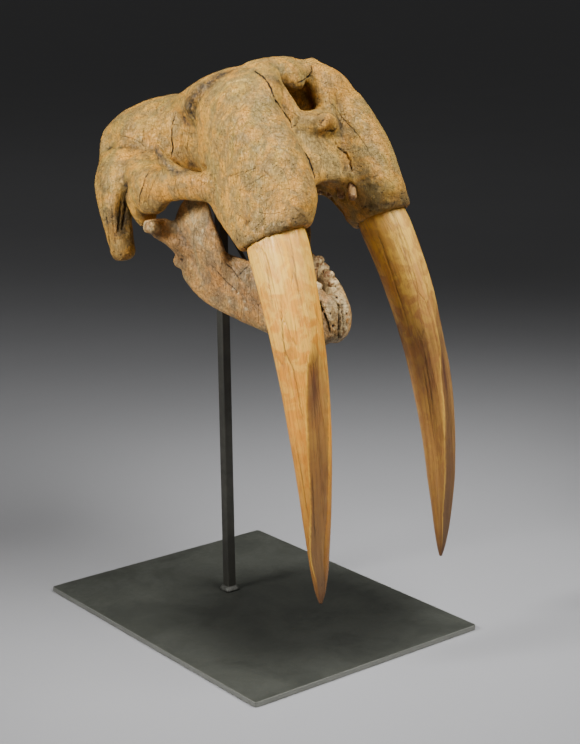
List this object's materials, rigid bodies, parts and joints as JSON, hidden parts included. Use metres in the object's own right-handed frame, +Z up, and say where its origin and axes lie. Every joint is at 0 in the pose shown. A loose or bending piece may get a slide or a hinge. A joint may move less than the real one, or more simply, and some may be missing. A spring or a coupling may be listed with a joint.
{
  "type": "fossil walrus skull on a stand",
  "caption": "Fossil walrus skull with long curved tusks and its lower jaw, held up on a square steel post that rises from a flat steel base plate.",
  "frame": {"origin": "centre of the base plate's underside", "axes": "+Z up; +Y to the back of the skull, along the plate's longer side; +X to the skull's left side. The skull is turned four degrees from +Y about the post"},
  "size_m": [0.356, 0.4863, 0.7266],
  "materials": {
    "fossil_bone": "tan to ochre fossil bone with grey-olive mottling, matt, fine cracks and grain",
    "jaw_bone": "orange-brown fossil bone with cream eroded edges, matt",
    "tusk_ivory": "honey brown ivory with long grain and purple-brown stains, satin",
    "tooth": "cream to pale yellow worn teeth, satin",
    "blackened_steel": "blackened satin steel"
  },
  "bodies": {
    "root": {"cranium": "fossil_bone", "mandible": "jaw_bone", "tusk_left": "tusk_ivory", "tusk_right": "tusk_ivory", "upper_tooth_left_1": "tooth", "upper_tooth_left_2": "tooth", "upper_tooth_left_3": "tooth", "upper_tooth_left_4": "tooth", "upper_tooth_right_1": "tooth", "upper_tooth_right_2": "tooth", "upper_tooth_right_3": "tooth", "upper_tooth_right_4": "tooth", "lower_tooth_left_1": "tooth", "lower_tooth_left_2": "tooth", "lower_tooth_left_3": "tooth", "lower_tooth_left_4": "tooth", "lower_tooth_right_1": "tooth", "lower_tooth_right_2": "tooth", "lower_tooth_right_3": "tooth", "lower_tooth_right_4": "tooth", "base_plate": "blackened_steel", "post": "blackened_steel", "post_weld": "blackened_steel", "skull_cradle": "blackened_steel", "jaw_arm_left": "blackened_steel", "jaw_arm_right": "blackened_steel"}
  },
  "joints": []
}
